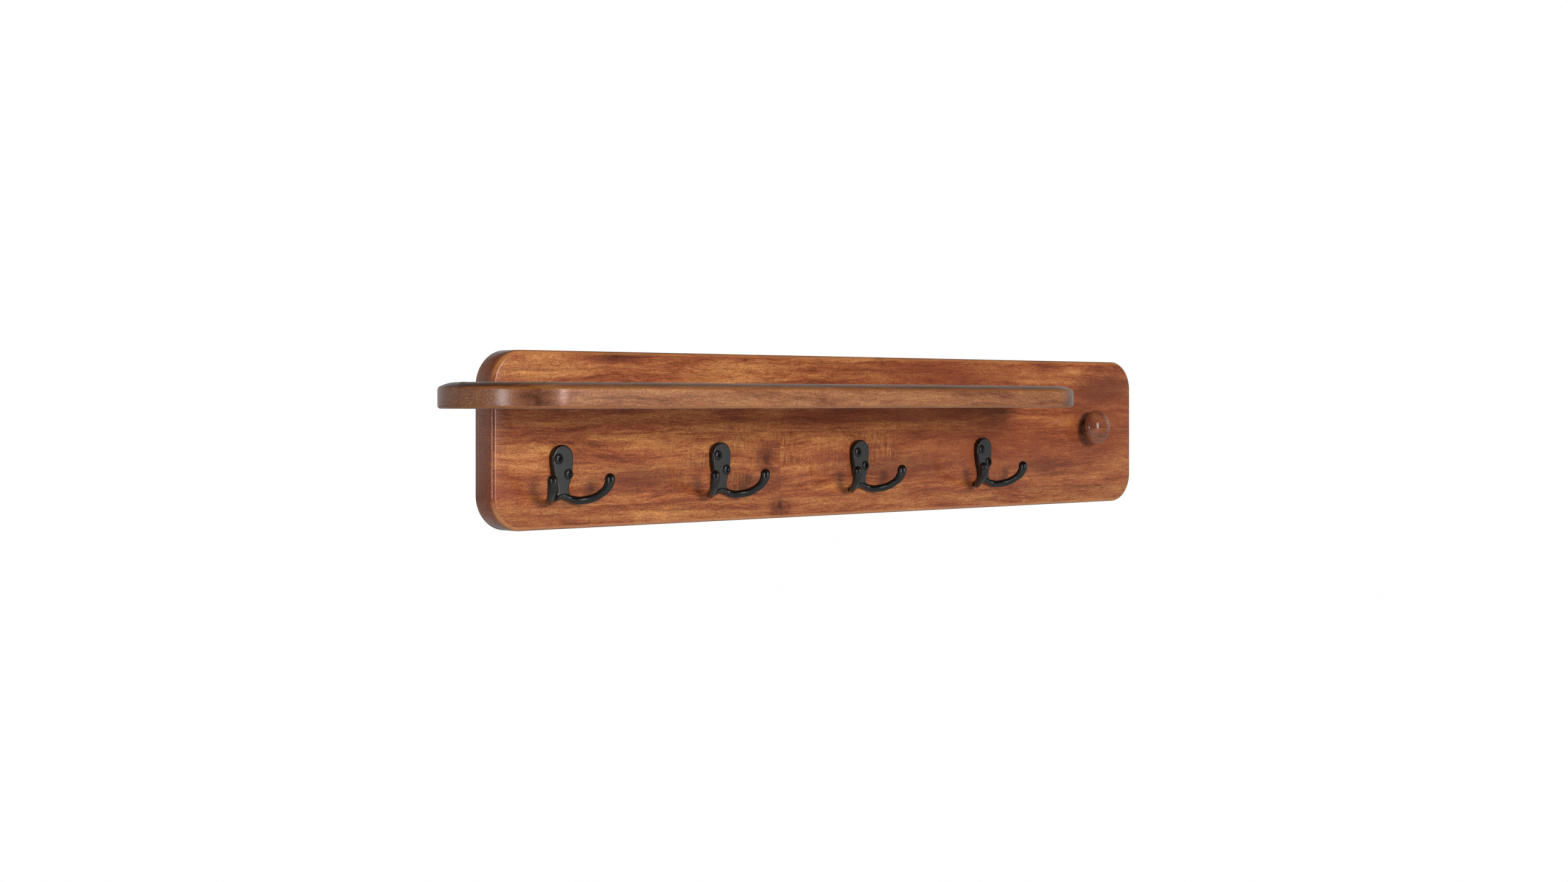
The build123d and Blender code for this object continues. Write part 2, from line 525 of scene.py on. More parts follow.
def lacquered_wood(
    name, dark, mid, light, *, joints=(), ends=(), golden=(), clouds=(), curl=(), knots=(),
    pores=0.55, turn=0.6, end_tint=(1.05, 0.9, 0.8), glow=0.5, edge=None, top=None, rim_y=None,
    coat_rough=0.12,
):
    """Open-pored acacia under satin lacquer.

    To the eye: soft streaks along the board, golden and dark clouds, short dark pores,
    bars of curl across the grain, knots, staves that differ where they are glued, and a
    painted golden highlight on edges where the lacquer wraps round them. Painted shade
    darkens faces that turn away round a curve, faces that look up, and a turned piece's neck.
    """
    material, tree, shader = new_material(name)
    wood = SimpleNamespace(tree=tree, deep=shade_of(dark, 0.45))
    wood.dark, wood.mid, wood.light = shade_of(dark), shade_of(mid), shade_of(light)
    wood.place = add(tree, "TexCoord", out="Object")
    wood.x, wood.y, wood.z = add(tree, "SeparateXYZ", (wood.place,), out=None).outputs
    normal = add(tree, "TexCoord", out="Normal")
    normal = add(tree, "SeparateXYZ", (normal,), out=None).outputs
    wood.normal_x, wood.normal_y, wood.normal_z = normal

    # Each stave takes its pattern from elsewhere in the log, 1.7 m along and 1 m up
    stave = numbered_staves(wood, joints, ends)
    along = add(tree, "Math", (stave, 1.7), operation="MULTIPLY")
    shift = add(tree, "CombineXYZ", {0: along, 2: stave})
    wood.log = add(tree, "VectorMath", (wood.place, shift), operation="ADD")

    # The grain wanders a few millimetres over a hand's width
    wander = {"Vector": wood.log, "Scale": per_metre(111.1), "Detail": 3.0}
    wander = add(tree, "TexNoise", wander, out="Color")
    sway = (wander, (0, 16 * MM, 16 * MM), wood.log)
    wood.grain = add(tree, "VectorMath", sway, operation="MULTIPLY_ADD")

    # Streaks and fine fibres, lighter in the golden clouds
    streak = grain_noise(tree, wood.grain, 90, 8, 7, 0.68)
    fine = grain_noise(tree, wood.grain, 12, 0.7, 3, 0.65)
    wood.broken = grain_noise(tree, wood.grain, 16, 5, 6, 0.7)
    gold = nearest(tree, wood.place, golden)
    gold = add(tree, "Math", (gold, 2.0), operation="MULTIPLY", use_clamp=True)
    ragged = add(tree, "Math", (wood.broken, 3.0, -1.0), **STRETCH)
    gold = add(tree, "Math", (gold, ragged), operation="MULTIPLY")
    level = add(tree, "Math", (streak, 0.66), operation="MULTIPLY")
    level = add(tree, "Math", (fine, 0.34, level), operation="MULTIPLY_ADD")
    level = add(tree, "Math", (gold, 0.11, level), operation="MULTIPLY_ADD")
    pale = shade_of(light, 1.5)
    stops = [(0.35, wood.dark), (0.48, wood.mid), (0.64, wood.light), (0.82, pale)]
    tint = add(tree, "ValToRGB", (level,), stops=stops)

    # Open pores: dark dashes 1 to 2 mm long, with pale ones between. They are 0.5 mm high,
    # about twice as wide as real ones, so that they show.
    flecks = grain_noise(tree, wood.grain, 1.8, 0.55, 3, 0.6)
    pits = add(tree, "Math", (flecks, 8.0, -4.1), **STRETCH)
    dashes = add(tree, "Math", (flecks, -8.0, 3.8), **STRETCH)

    layers = [
        *plum_lines(wood),
        *cloud_layers(wood, clouds),
        *curl_layers(wood, curl),
        *knot_layers(wood, knots),
        (pits, pores, wood.dark, "MIX"),
        (dashes, 1.0, (1.28, 1.26, 1.22, 1), "MULTIPLY"),
    ]
    if joints:  # Each stave is a little lighter than the one below
        lift = add(tree, "Math", (stave, 0.15, 0.92), operation="MULTIPLY_ADD")
        layers.append((1.0, 1.0, lift, "MULTIPLY"))
    # Painted shade where a face turns away round a curve, at the share in turn, then the end
    # grain
    layers += end_grain(wood, turn, end_tint)
    # Painted highlight: a golden band along rounded edges, in the colour edge at the share glow
    layers += painted_edge_highlights(wood, glow, edge or wood.light)
    # Painted shade on faces that look up, in the colour top
    if top:
        layers += painted_top_shade(wood, top)
    # Painted shade in the knob's neck, from rim_y towards the board
    if rim_y:
        layers += painted_neck_shade(wood, rim_y)
    layers += glue_lines(wood, joints)
    for share, strength, shade, mode in layers:
        factor = add(tree, "Math", (share, strength), operation="MULTIPLY")
        mix = {"Factor": factor, 6: tint, 7: shade}
        tint = add(tree, "Mix", mix, out=2, data_type="RGBA", blend_type=mode)

    raised = add(tree, "Math", (fine, 0.3), operation="MULTIPLY")
    relief = add(tree, "Math", (pits, -1.0, raised), operation="MULTIPLY_ADD")
    bump = add(tree, "Bump", {"Height": relief, "Strength": 0.10, "Distance": 0.3 * MM})
    surface = {
        "Base Color": tint,
        "Normal": bump,
        "Roughness": 0.42,
        "IOR": 1.48,
        "Specular IOR Level": 0.1,
        "Coat Weight": 1.0,
        "Coat Roughness": coat_rough,
    }
    connect(tree, shader, surface)
    return material


def powder_coat(name, shade, rough, face=0.0):
    """Satin black powder coat on cast zinc, or black oxide on steel.

    To the eye: near-black with soft bright rims and a faint orange peel, and greyer by
    the share in face on the flat faces, a painted grey reflection.
    """
    material, tree, shader = new_material(name)
    place = add(tree, "TexCoord", out="Object")
    normal = add(tree, "TexCoord", out="Normal")
    peel = {"Vector": place, "Scale": per_metre(0.714), "Detail": 2, "Roughness": 0.5}
    peel = add(tree, "TexNoise", peel)
    wear = {"Vector": place, "Scale": per_metre(6.25), "Detail": 4, "Roughness": 0.6}
    wear = add(tree, "TexNoise", wear)
    stops = [(0.40, shade_of(shade)), (0.75, shade_of(shade, 1.7))]
    tint = add(tree, "ValToRGB", (wear,), stops=stops)
    # Painted reflection: faces that look straight out from the board are mixed towards grey, by
    # the share in face
    flat = add(tree, "SeparateXYZ", (normal,), out="Y")
    flat = add(tree, "Math", (flat,), operation="ABSOLUTE")
    flat = add(tree, "Math", (flat, 25.0, -24.2), **STRETCH)
    flat = add(tree, "Math", (flat, face), operation="MULTIPLY")
    mix = {"Factor": flat, 6: tint, 7: linear("4a4a4a")}
    tint = add(tree, "Mix", mix, out=2, data_type="RGBA")
    roughness = (wear, 0.12, rough - 0.06)
    roughness = add(tree, "Math", roughness, operation="MULTIPLY_ADD")
    bump = add(tree, "Bump", {"Height": peel, "Strength": 0.10, "Distance": 0.2 * MM})
    surface = {
        "Base Color": tint,
        "Roughness": roughness,
        "Normal": bump,
        "Specular IOR Level": 0.5,
    }
    connect(tree, shader, surface)
    return material


def pale_floor(name):
    """Matt pale paper that stays white behind the object."""
    material, tree, shader = new_material(name)
    connect(tree, shader, {"Base Color": linear("f4f4f2"), "Roughness": 0.9})
    seen = add(tree, "LightPath", out="Is Camera Ray")
    share = add(tree, "Math", (seen, 0.97), operation="MULTIPLY")
    glow = add(tree, "Emission", {"Color": WHITE, "Strength": 1.02})
    mixed = add(tree, "MixShader", (share, shader.outputs[0], glow))
    connect(tree, tree.nodes["Material Output"], {"Surface": mixed})
    return material


# ----------------------------------------------------------------------------------------
# Operators
# ----------------------------------------------------------------------------------------


# What shows in the board's wood, in millimetres from its middle. Joints between staves are
# heights, and their ends are a place along the board with the heights that they lie between.
STAVE_JOINTS = (-48.8, 3.9)
STAVE_ENDS = ((-87.9, -48.8, 3.9), (-100, -70, -48.8))
# The others are ovals: across, up, half the width and half the height
GOLDEN_CLOUDS = (
    (-335, -10, 45, 14),
    (-175, -2, 95, 20),
    (-320, 53, 75, 12),
    (-105, 55, 85, 15),
    (-15, -2, 75, 10),
    (-215, -58, 80, 9),
    (50, -58, 60, 9),
    (180, -57, 110, 10),
)
RED_CLOUDS = (
    (120, 52, 200, 20),
    (170, -18, 240, 50),
    (330, 10, 120, 80),
    (-360, -35, 60, 14),
    (60, 18, 180, 16),
    (-30, -16, 60, 12),
)
PLUM_CLOUDS = (
    (-235, -30, 85, 16),
    (-262, 60, 34, 7),
    (-110, -36, 70, 14),
    (330, 40, 80, 24),
    (40, -26, 130, 18),
    (240, -30, 70, 12),
    (-300, -46, 50, 6),
)
CURL_PATCHES = ((-120, -14, 120, 34), (10, -10, 60, 20))
KNOTS = ((-104, -17, 16, 16), (-88, -56, 14, 12), (27, 63.5, 8, 4), (-258, 61.5, 14, 4))


def keyhole_cutters(sizes, x, z):
    """The entry, the slot through the lip and the way behind it, as three cutters."""
    spare = 1 * MM
    cutters = [rod(sizes.keyhole_entry_radius, -sizes.keyhole_lip - spare, spare, x, z)]
    runs = [
        (sizes.keyhole_slot_radius, -sizes.keyhole_lip - spare, spare),
        (sizes.keyhole_entry_radius, -sizes.keyhole_depth, -sizes.keyhole_lip),
    ]
    for radius, low_y, high_y in runs:
        slot = rod(radius, low_y, high_y, x, z)
        edit(slot)
        pick("verts", lambda v: v.co.z > z)
        bpy.ops.transform.translate(value=(0, 0, sizes.keyhole_rise))
        done()
        cutters.append(slot)
    return cutters


def cross_cutter(width, reach, top_y, depth):
    """A tapered cross that goes in from top_y along Y by depth, which may be negative."""
    arms = []
    low_y, high_y = sorted((top_y - depth, top_y + depth))
    for wide, high in ((reach, width), (width, reach)):
        arm = block((-wide, low_y, -high), (wide, high_y, high))
        edit(arm, "FACE")
        pick("faces", lambda f: all_at(f, 1, top_y + depth))
        bpy.ops.transform.resize(value=(0.35, 1, 0.35), center_override=(0, top_y + depth, 0))
        done()
        arms.append(arm)
    return arms


class RAIL_OT_backboard(bpy.types.Operator):
    """Build the backboard with round corners, a rounded front edge and keyholes"""

    bl_idname = "rail.backboard"
    bl_label = "Backboard"

    def execute(self, context):
        sizes = context.scene.rail_board
        shelf = context.scene.rail_shelf
        board = block(BOARD_LOW, BOARD_HIGH)
        edit(board, "EDGE")  # The four corners, then the front edge and the edge at the wall
        pick("edges", lambda e: abs(e.verts[0].co.y - e.verts[1].co.y) > 0.01)
        bpy.ops.mesh.bevel(offset=sizes.corner_radius, segments=20, affect="EDGES")
        pick("edges", lambda e: all_at(e, 1, BOARD_FRONT))
        bpy.ops.mesh.bevel(offset=sizes.front_round, segments=6, affect="EDGES")
        pick("edges", lambda e: all_at(e, 1, 0.0))
        bpy.ops.mesh.bevel(offset=sizes.back_ease, segments=2, affect="EDGES")
        done()
        for side in (-1, 1):
            x = side * sizes.keyhole_spacing / 2
            z = BOARD_HIGH.z - sizes.keyhole_below_top
            for cutter in keyhole_cutters(sizes, x, z):
                cut(board, cutter)
        head, depth = sizes.screw_head_radius, sizes.screw_head_height + sizes.screw_recess
        for x, z in self.screw_places(shelf):
            cut(board, rod(head, -depth, 1 * MM, x, z, end_radius=head / 2))
        smooth(board)
        finish = context.scene.rail_finish
        wood = lacquered_wood(
            "Acacia, satin lacquer",
            finish.acacia_dark,
            finish.acacia_middle,
            finish.acacia_light,
            joints=STAVE_JOINTS,
            ends=STAVE_ENDS,
            golden=GOLDEN_CLOUDS,
            clouds=(("83422a", RED_CLOUDS), ("5f3020", PLUM_CLOUDS)),
            curl=CURL_PATCHES,
            knots=KNOTS,
        )
        hand_over(board, "Backboard", wood, "backboard")
        return {"FINISHED"}

    @staticmethod
    def screw_places(shelf):
        """Places of the shelf's three screws along the joint."""
        low = max(SHELF_LOW.x, BOARD_LOW.x) + shelf.screw_inset
        high = SHELF_HIGH.x - (SHELF_HIGH.y - SHELF_LOW.y) / 2 - shelf.screw_inset / 2
        z = (SHELF_LOW.z + SHELF_HIGH.z) / 2
        return [(low, z), ((low + high) / 2, z), (high, z)]


class RAIL_OT_shelf_screws(bpy.types.Operator):
    """Set the heads of the three shelf screws into the back of the board"""

    bl_idname = "rail.shelf_screws"
    bl_label = "Shelf screws"

    def execute(self, context):
        sizes = context.scene.rail_board
        top, bottom = -sizes.screw_recess, -sizes.screw_recess - sizes.screw_head_height
        radius = sizes.screw_head_radius - 0.1 * MM
        screw = rod(radius, bottom, top, 0, 0, sides=48, end_radius=radius / 2)
        for arm in cross_cutter(0.45 * MM, 2.3 * MM, top, -1.8 * MM):
            cut(screw, arm)
        smooth(screw)
        coat = powder_coat("Black oxide steel", context.scene.rail_finish.coat, rough=0.42)
        places = RAIL_OT_backboard.screw_places(context.scene.rail_shelf)
        for number, (x, z) in enumerate(places, start=1):
            copy = copy_to(screw, "ShelfScrew", (x, 0, z))
            hand_over(copy, f"ShelfScrew_{number}", coat)
        bpy.data.objects.remove(screw)
        return {"FINISHED"}


def on_rim(edge):
    """Whether an edge lies between two faces that meet at more than about a degree."""
    return len(edge.link_faces) == 2 and edge.calc_face_angle(0.0) > 0.02


class RAIL_OT_shelf(bpy.types.Operator):
    """Build the shelf with fully round ends and rounded edges"""

    bl_idname = "rail.shelf"
    bl_label = "Shelf"

    def execute(self, context):
        sizes = context.scene.rail_shelf
        shelf = block(SHELF_LOW, SHELF_HIGH)
        edit(shelf, "EDGE")
        pick("edges", lambda e: abs(e.verts[0].co.z - e.verts[1].co.z) > 0.01)
        end_radius = (SHELF_HIGH.y - SHELF_LOW.y) / 2
        hair = 0.01 * MM
        bpy.ops.mesh.bevel(offset=end_radius - hair, segments=32, affect="EDGES")
        bpy.ops.mesh.select_all(action="SELECT")
        bpy.ops.mesh.bisect(plane_co=(BOARD_LOW.x, 0, 0), plane_no=(1, 0, 0))
        edge_top = SHELF_HIGH.z - sizes.bevel_drop
        bpy.ops.mesh.select_mode(type="VERT")
        pick("verts", lambda v: v.co.z > edge_top)
        bpy.ops.transform.translate(value=(0, 0, -sizes.bevel_drop))
        bpy.ops.mesh.select_mode(type="FACE")
        pick("faces", lambda f: all_at(f, 2, edge_top))
        bpy.ops.mesh.inset(thickness=sizes.bevel_width, depth=sizes.bevel_drop)
        bpy.ops.mesh.select_mode(type="VERT")
        back_line = SHELF_HIGH.y - sizes.bevel_width
        top = SHELF_HIGH.z
        pick(
            "verts",
            lambda v: v.co.y > back_line - 0.1 * MM
            and v.co.x > BOARD_LOW.x - 0.1 * MM
            and abs(v.co.z - top) < 1e-5,
        )
        bpy.ops.transform.translate(value=(0, sizes.bevel_width, 0))
        bpy.ops.mesh.select_mode(type="EDGE")
        rims = (
            (top, sizes.bevel_width / 2),
            (edge_top, sizes.lip_round),
            (SHELF_LOW.z, sizes.bottom_round),
        )
        for height, radius in rims:
            pick(
                "edges",
                lambda e: all_at(e, 2, height) and on_rim(e) and middle(e).y < SHELF_HIGH.y - MM,
            )
            bpy.ops.mesh.bevel(offset=radius, segments=5, affect="EDGES")
        done()
        smooth(shelf)
        finish = context.scene.rail_finish
        wood = lacquered_wood(
            "Acacia shelf board, satin lacquer",
            finish.shelf_dark,
            finish.shelf_middle,
            finish.shelf_light,
            # edge and glow: colour and share of the painted golden highlight along the rounded
            # edges
            edge=linear("8a4f18"),
            glow=0.6,
            # top: colour of the painted shade on faces that look up
            top=linear("4a3220"),
            # turn: share of the painted shade round the shelf's curved ends
            turn=1.0,
            coat_rough=0.27,
            end_tint=(0.95, 1.0, 1.0),
        )
        hand_over(shelf, "Shelf", wood, "shelf")
        return {"FINISHED"}


# One hook, in millimetres from its lowest point. The plate below its round top: heights
# and half widths
PLATE_STEPS = (
    (29.5, 9.3),
    (25.0, 8.6),
    (20.5, 7.6),
    (16.5, 6.5),
    (13.0, 5.6),
    (10.4, 5.3),
    (8.2, 6.4),
    (6.2, 8.6),
    (4.0, 10.4),
    (1.6, 11.6),
)
# The arch between the plate's two feet: its radius and the height of its top
PLATE_ARCH = (22.6, 4.8)
# The prong's centre line and the keel under it: sideways, up, out and radius
PRONG_LINE = (
    (0.0, 7.6, 2.7, 2.6),
    (8.6, 4.7, 4.0, 2.4),
    (14.8, 4.0, 8.6, 2.45),
    (23.6, 9.6, 21.2, 3.1),
    (25.9, 16.4, 25.6, 3.75),
    (26.2, 19.7, 25.9, 3.75),
)
KEEL_LINE = (
    (4.5, 5.2, 3.0, 0.8),
    (8.6, 2.5, 3.8, 0.9),
    (14.8, 1.6, 8.0, 0.95),
    (20.4, 3.7, 16.2, 0.95),
    (24.4, 8.6, 23.0, 1.2),
)


def hook_plate(sizes):
    """The plate, drawn from its round top down to its two feet."""
    middle_z = sizes.plate_height - sizes.plate_top_radius
    bpy.ops.mesh.primitive_circle_add(
        vertices=48,
        radius=sizes.plate_top_radius,
        fill_type="NOTHING",
        location=(0, 0, middle_z),
        rotation=(math.pi / 2, 0, 0),
    )
    plate = settle(bpy.context.object)
    edit(plate)
    pick("verts", lambda v: v.co.z < middle_z - 1e-5)
    bpy.ops.mesh.delete(type="VERT")
    bpy.ops.mesh.select_all(action="SELECT")
    bpy.ops.mesh.edge_face_add()
    height, width = middle_z, sizes.plate_top_radius
    bpy.ops.mesh.select_mode(type="EDGE")
    for next_height, next_width in PLATE_STEPS:
        drop, grow = next_height * MM - height, next_width * MM / width
        pick("edges", lambda e: all_at(e, 2, height, 1e-6))
        bpy.ops.mesh.extrude_region_move(TRANSFORM_OT_translate={"value": (0, 0, drop)})
        height, width = height + drop, width * grow
        bpy.ops.transform.resize(value=(grow, 1, 1), center_override=(0, 0, height))
    bpy.ops.mesh.select_all(action="SELECT")
    out = (0, -sizes.plate_thickness, 0)
    bpy.ops.mesh.extrude_region_move(TRANSFORM_OT_translate={"value": out})
    bpy.ops.mesh.select_all(action="SELECT")
    bpy.ops.mesh.normals_make_consistent(inside=False)
    pick(
        "edges",
        lambda e: all_at(e, 1, -sizes.plate_thickness)
        and any(not all_at(f, 1, -sizes.plate_thickness) for f in e.link_faces),
    )
    bpy.ops.mesh.bevel(offset=sizes.plate_edge, segments=3, affect="EDGES")
    done()
    radius, top = PLATE_ARCH
    cut(plate, rod(radius * MM, -20 * MM, 10 * MM, 0, (top - radius) * MM, sides=96))
    return plate


def bar(points, side):
    """A smooth curve with its own thickness at each point, turned into a mesh."""
    line = bpy.data.curves.new("Prong", "CURVE")
    line.dimensions = "3D"
    line.bevel_depth = 1.0
    line.bevel_resolution = 8
    line.resolution_u = 16
    line.use_fill_caps = True
    spline = line.splines.new("BEZIER")
    spline.radius_interpolation = "BSPLINE"
    spline.bezier_points.add(len(points) - 1)
    for point, (across, up, out, radius) in zip(spline.bezier_points, points):
        point.co = (side * across * MM, -out * MM, up * MM)
        point.radius = radius * MM
        point.handle_left_type = point.handle_right_type = "AUTO"
    piece = bpy.data.objects.new("Prong", line)
    bpy.context.collection.objects.link(piece)
    only(piece)
    bpy.ops.object.convert(target="MESH")
    return bpy.context.object


def prong(side):
    """One prong: a bar with a keel along its underside and a round tip."""
    across, up, out, radius = PRONG_LINE[-1]
    bpy.ops.mesh.primitive_uv_sphere_add(
        segments=32,
        ring_count=24,
        radius=radius * MM,
        location=(side * across * MM, -out * MM, up * MM),
    )
    tip = settle(bpy.context.object)
    return joined([bar(PRONG_LINE, side), bar(KEEL_LINE, side), tip])


def hook_base(name, sizes):
    """Where the lowest point of a hook's plate lies on the board's front."""
    low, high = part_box(name)
    return ((low[0] + high[0]) / 2, BOARD_FRONT, high[2] - sizes.plate_height)


class RAIL_OT_hooks(bpy.types.Operator):
    """Cast one double hook and copy it along the board"""

    bl_idname = "rail.hooks"
    bl_label = "Double hooks"

    def execute(self, context):
        sizes = context.scene.rail_hook
        casting = joined([hook_plate(sizes), prong(-1), prong(1)])
        finish_modifier(casting, "REMESH", mode="VOXEL", voxel_size=sizes.grain)
        finish_modifier(casting, "SMOOTH", factor=0.5, iterations=7)
        smooth(casting, 60)
        black = context.scene.rail_finish.coat
        # face: share of the painted grey reflection on the plate's flat faces
        coat = powder_coat("Cast zinc, satin black powder coat", black, rough=0.24, face=0.75)
        for name in HOOK_NODES:
            hook = copy_to(casting, name, hook_base(name, sizes))
            hand_over(hook, f"DoubleHook_{name[-1]}", coat, name)
        bpy.data.objects.remove(casting)
        return {"FINISHED"}


def rings_out(rings, radius, reach, centre):
    """Extrude the selected round face outwards, ring by ring.

    Radius and reach are where it starts, each ring is how far out and how wide it is, and
    the centre is where its axis leaves the board.
    """
    for out, next_radius in rings:
        move = {"value": (0, reach - out, 0)}
        bpy.ops.mesh.extrude_region_move(TRANSFORM_OT_translate=move)
        grow = next_radius / radius
        middle_at = (centre[0], centre[1] - out, centre[2])
        bpy.ops.transform.resize(value=(grow, 1, grow), center_override=middle_at)
        radius, reach = next_radius, out


# A hook screw's head: the share of its height that stands straight, and the angles, in
# degrees, of the rings that its dome rises through
SCREW_RIM = 0.35
SCREW_DOME = (18, 36, 54, 70, 84)


class RAIL_OT_hook_screws(bpy.types.Operator):
    """Drive two domed cross-head screws through each hook"""

    bl_idname = "rail.hook_screws"
    bl_label = "Hook screws"

    def execute(self, context):
        sizes = context.scene.rail_hook
        radius, height = sizes.screw_radius, sizes.screw_height
        rim = height * SCREW_RIM
        screw = rod(radius, -rim, 1 * MM, 0, 0, sides=48)
        edit(screw, "FACE")
        pick("faces", lambda f: all_at(f, 1, -rim))
        dome = [
            (rim + (height - rim) * math.sin(angle), radius * math.cos(angle))
            for angle in map(math.radians, SCREW_DOME)
        ]
        rings_out(dome, radius, rim, (0, 0, 0))
        done()
        for arm in cross_cutter(0.75 * MM, 2.9 * MM, -height, 1.3 * MM):
            cut(screw, arm)
        smooth(screw, 40)
        coat = powder_coat("Black oxide steel", context.scene.rail_finish.coat, rough=0.3)
        turn = random.Random(7)
        seat_y = BOARD_FRONT - sizes.plate_thickness
        upper = (-sizes.screw_side, sizes.screw_upper)
        lower = (sizes.screw_side, sizes.screw_lower)
        for name in HOOK_NODES:
            x, _, base = hook_base(name, sizes)
            for number, (side, up) in enumerate((upper, lower), start=1):
                copy = copy_to(screw, "HookScrew", (0, 0, 0))
                copy.rotation_euler.y = turn.uniform(0, math.pi / 2)
                copy.location = (x + side, seat_y, base + up)
                settle(copy)
                hand_over(copy, f"HookScrew_{name[-1]}_{number}", coat)
        bpy.data.objects.remove(screw)
        return {"FINISHED"}


# The knob from its foot outwards, in millimetres: out and radius, up to where its crown
# starts, and the crown's rings with the degrees between them
KNOB_FOOT_RADIUS = 8.2
KNOB_STEPS = (
    (1.2, 8.0),
    (2.8, 7.3),
    (4.5, 7.0),
    (6.0, 7.3),
    (6.8, 8.2),
    (7.5, 8.6),
    (8.3, 8.5),
    (8.9, 9.2),
    (9.5, 12.0),
    (10.2, 14.4),
    (10.9, 15.5),
    (11.8, 15.7),
)
CROWN_RINGS, CROWN_STEP = 14, 6.2


class RAIL_OT_knob(bpy.types.Operator):
    """Turn the knob from its foot to its round crown"""

    bl_idname = "rail.knob"
    bl_label = "Knob"

    def execute(self, context):
        x = (KNOB_LOW.x + KNOB_HIGH.x) / 2
        z = (KNOB_LOW.z + KNOB_HIGH.z) / 2
        height = BOARD_FRONT - KNOB_LOW.y
        foot = (x, BOARD_FRONT, z)
        bpy.ops.mesh.primitive_circle_add(
            vertices=64,
            radius=KNOB_FOOT_RADIUS * MM,
            fill_type="NGON",
            location=foot,
            rotation=(math.pi / 2, 0, 0),
        )
        knob = settle(bpy.context.object)
        edit(knob, "FACE")
        bpy.ops.mesh.select_all(action="SELECT")
        rings = [(out * MM, radius * MM) for out, radius in KNOB_STEPS]
        rim_out, rim_radius = rings[-1]
        for ring in range(1, CROWN_RINGS + 1):
            angle = math.radians(CROWN_STEP * ring)
            out = rim_out + (height - rim_out) * math.sin(angle)
            rings.append((out, rim_radius * math.cos(angle)))
        rings_out(rings, KNOB_FOOT_RADIUS * MM, 0.0, foot)
        bpy.ops.mesh.select_all(action="SELECT")
        bpy.ops.mesh.normals_make_consistent(inside=False)
        done()
        finish_modifier(knob, "SUBSURF", levels=1, render_levels=1)
        smooth(knob, 50)
        finish = context.scene.rail_finish
        wood = lacquered_wood(
            "Turned acacia, gloss lacquer",
            finish.knob_dark,
            finish.knob_middle,
            finish.knob_light,
            glow=0.0,
            pores=0.25,
            end_tint=(1, 1, 1),
            turn=0.0,
            # rim_y: where the painted shade in the neck starts
            rim_y=BOARD_FRONT - 9.5 * MM,
            coat_rough=0.18,
        )
        hand_over(knob, "Knob", wood, "knob")
        return {"FINISHED"}


def soft_lamp(name, place, size, power):
    """A soft rectangular lamp that looks at the middle of the board."""
    lamp = bpy.data.lights.new(name, "AREA")
    lamp.shape = "RECTANGLE"
    lamp.size, lamp.size_y = size
    lamp.energy = power
    holder = bpy.data.objects.new(name, lamp)
    bpy.context.collection.objects.link(holder)
    holder.location = place
    holder.rotation_euler = (-Vector(place)).to_track_quat("-Z", "Y").to_euler()
    return holder


def around(bearing, height, distance):
    """A point at a bearing from +X and a height, both in degrees, around the board."""
    flat = distance * math.cos(math.radians(height))
    x, y = flat * math.cos(math.radians(bearing)), flat * math.sin(math.radians(bearing))
    return (x, y, distance * math.sin(math.radians(height)))


# How bright the surroundings are as light, and in reflections at their darkest and brightest
WORLD_LIGHT, MIRROR_DARK, MIRROR_BRIGHT = 0.27, 0.04, 0.49


def white_surroundings(name):
    """A world that is white to the eye, and lights and mirrors at a plain level.

    In reflections the room is bright beside and behind the board, and dark in front and
    overhead, so that the flat lacquer stays clear.
    """
    world = bpy.data.worlds.new(name)
    world.use_nodes = True
    tree = world.node_tree
    direction = add(tree, "TexCoord", out="Generated")
    _, y, z = add(tree, "SeparateXYZ", (direction,), out=None).outputs
    beside = add(tree, "Math", (y, 3.0, 1.7), **STRETCH)
    low = add(tree, "Math", (z, -2.4, 1.4), **STRETCH)
    bright = add(tree, "Math", (beside, low), operation="MULTIPLY")
    levels = (bright, MIRROR_BRIGHT - MIRROR_DARK, MIRROR_DARK - WORLD_LIGHT)
    change = add(tree, "Math", levels, operation="MULTIPLY_ADD")
    glossy = add(tree, "LightPath", out="Is Glossy Ray")
    strength = add(tree, "Math", (glossy, change, WORLD_LIGHT), operation="MULTIPLY_ADD")
    seen = add(tree, "LightPath", out="Is Camera Ray")
    whole = (seen, 1 - WORLD_LIGHT, strength)
    strength = add(tree, "Math", whole, operation="MULTIPLY_ADD")
    connect(tree, tree.nodes["Background"], {"Color": WHITE, "Strength": strength})
    return world


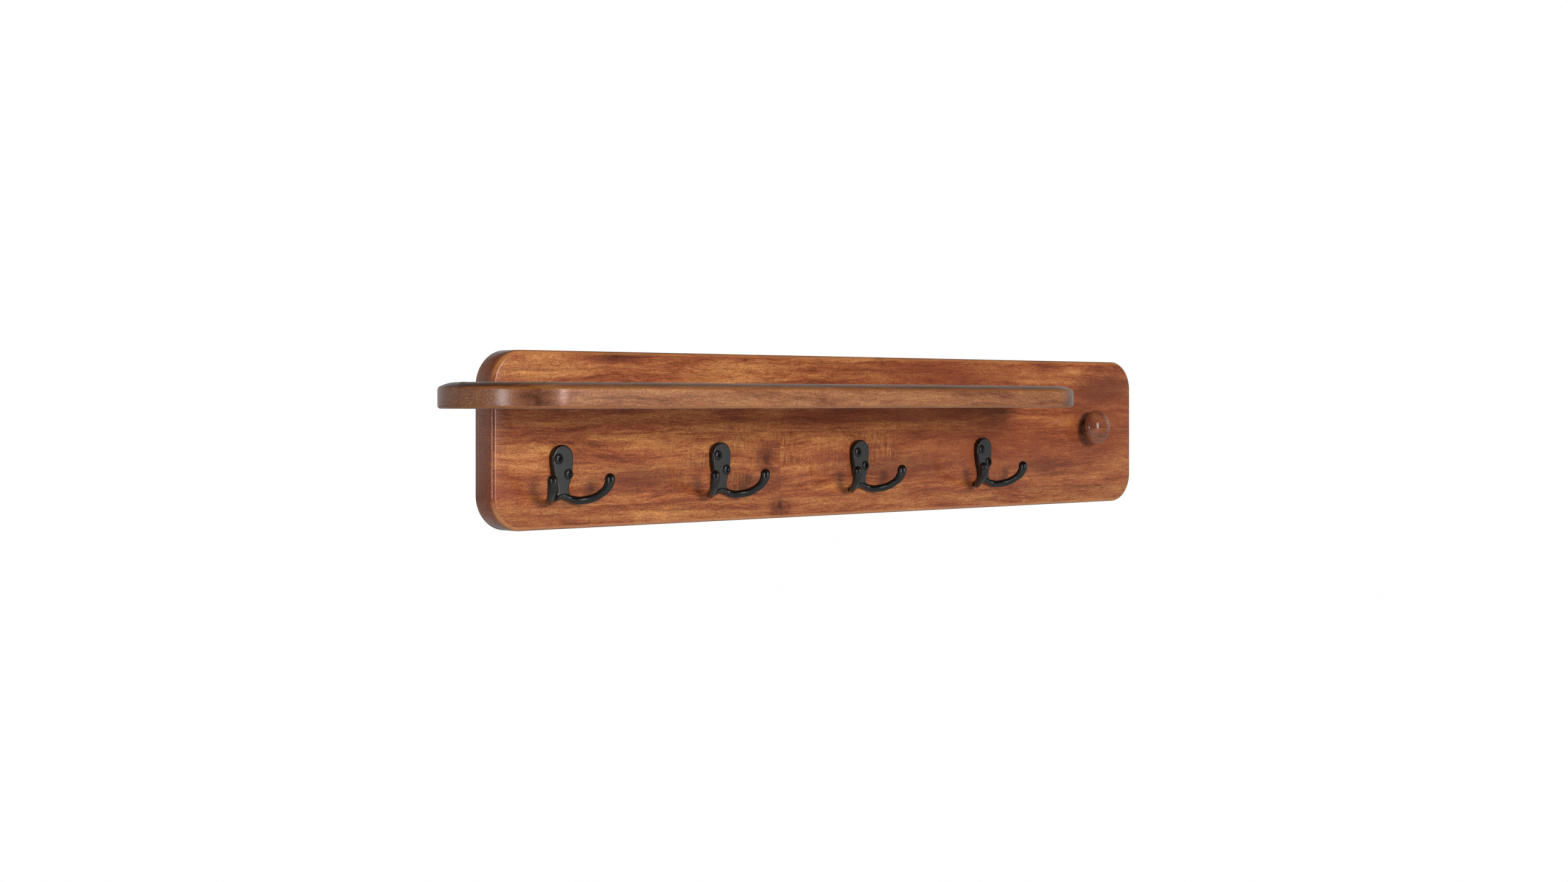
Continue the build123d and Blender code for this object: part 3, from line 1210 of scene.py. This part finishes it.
class RAIL_OT_stage(bpy.types.Operator):
    """Set up the pale floor, the soft lamps, the white surroundings and the camera"""

    bl_idname = "rail.stage"
    bl_label = "Stage"

    def execute(self, context):
        scene = context.scene
        bpy.ops.mesh.primitive_plane_add(size=30, location=(0, 0, -0.9))
        floor = settle(bpy.context.object)
        floor.name = "Floor"
        floor.data.materials.append(pale_floor("Pale paper"))

        # The key casts the shadows, and the two strips show in the lacquer
        key = soft_lamp("KeyLamp", around(-103, 11, 3.0), (1.0, 0.6), 62.0)
        key.visible_glossy = False
        soft_lamp("LeftStrip", around(-154.5, 0.5, 2.0), (0.30, 0.6), 6.0)
        strip = soft_lamp("RightStrip", around(-76.5, 7, 2.0), (0.26, 0.8), 8.8)
        strip.visible_diffuse = False

        scene.world = white_surroundings("White surroundings")

        # A level camera, left of the middle and turned to the right along the wall
        camera = bpy.data.cameras.new("Camera")
        camera.lens = 49.357
        camera.sensor_width = 36.0
        camera.shift_y = -0.02446
        holder = bpy.data.objects.new("Camera", camera)
        context.collection.objects.link(holder)
        holder.location = (-1.2732, -1.2589, 0.0271)
        holder.rotation_euler = (math.radians(90), 0, math.radians(-43.83))
        scene.camera = holder
        scene.view_settings.view_transform = "Standard"
        return {"FINISHED"}


OPERATORS = (
    RAIL_OT_backboard,
    RAIL_OT_shelf_screws,
    RAIL_OT_shelf,
    RAIL_OT_hooks,
    RAIL_OT_hook_screws,
    RAIL_OT_knob,
    RAIL_OT_stage,
)


class RAIL_PT_panel(bpy.types.Panel):
    """The rail's pieces, in the order in which they are built"""

    bl_label = "Peg Rail"
    bl_idname = "RAIL_PT_panel"
    bl_space_type = "VIEW_3D"
    bl_region_type = "UI"
    bl_category = "Peg Rail"

    def draw(self, context):
        for operator in OPERATORS:
            self.layout.operator(operator.bl_idname)
        for name, group in SETTINGS.items():
            settings = getattr(context.scene, name)
            for prop in group.__annotations__:
                self.layout.prop(settings, prop)


def register():
    """Register the settings, the operators and the panel."""
    for name, group in SETTINGS.items():
        bpy.utils.register_class(group)
        setattr(bpy.types.Scene, name, bpy.props.PointerProperty(type=group))
    for item in (*OPERATORS, RAIL_PT_panel):
        bpy.utils.register_class(item)


def unregister():
    """Take the panel, the operators and the settings away again."""
    for item in (RAIL_PT_panel, *reversed(OPERATORS)):
        bpy.utils.unregister_class(item)
    for name, group in SETTINGS.items():
        delattr(bpy.types.Scene, name)
        bpy.utils.unregister_class(group)


def main():
    """Build the rail and its stage."""
    register()
    bpy.ops.rail.backboard()
    bpy.ops.rail.shelf_screws()
    bpy.ops.rail.shelf()
    bpy.ops.rail.hooks()
    bpy.ops.rail.hook_screws()
    bpy.ops.rail.knob()
    bpy.ops.rail.stage()


if __name__ == "__main__":
    main()
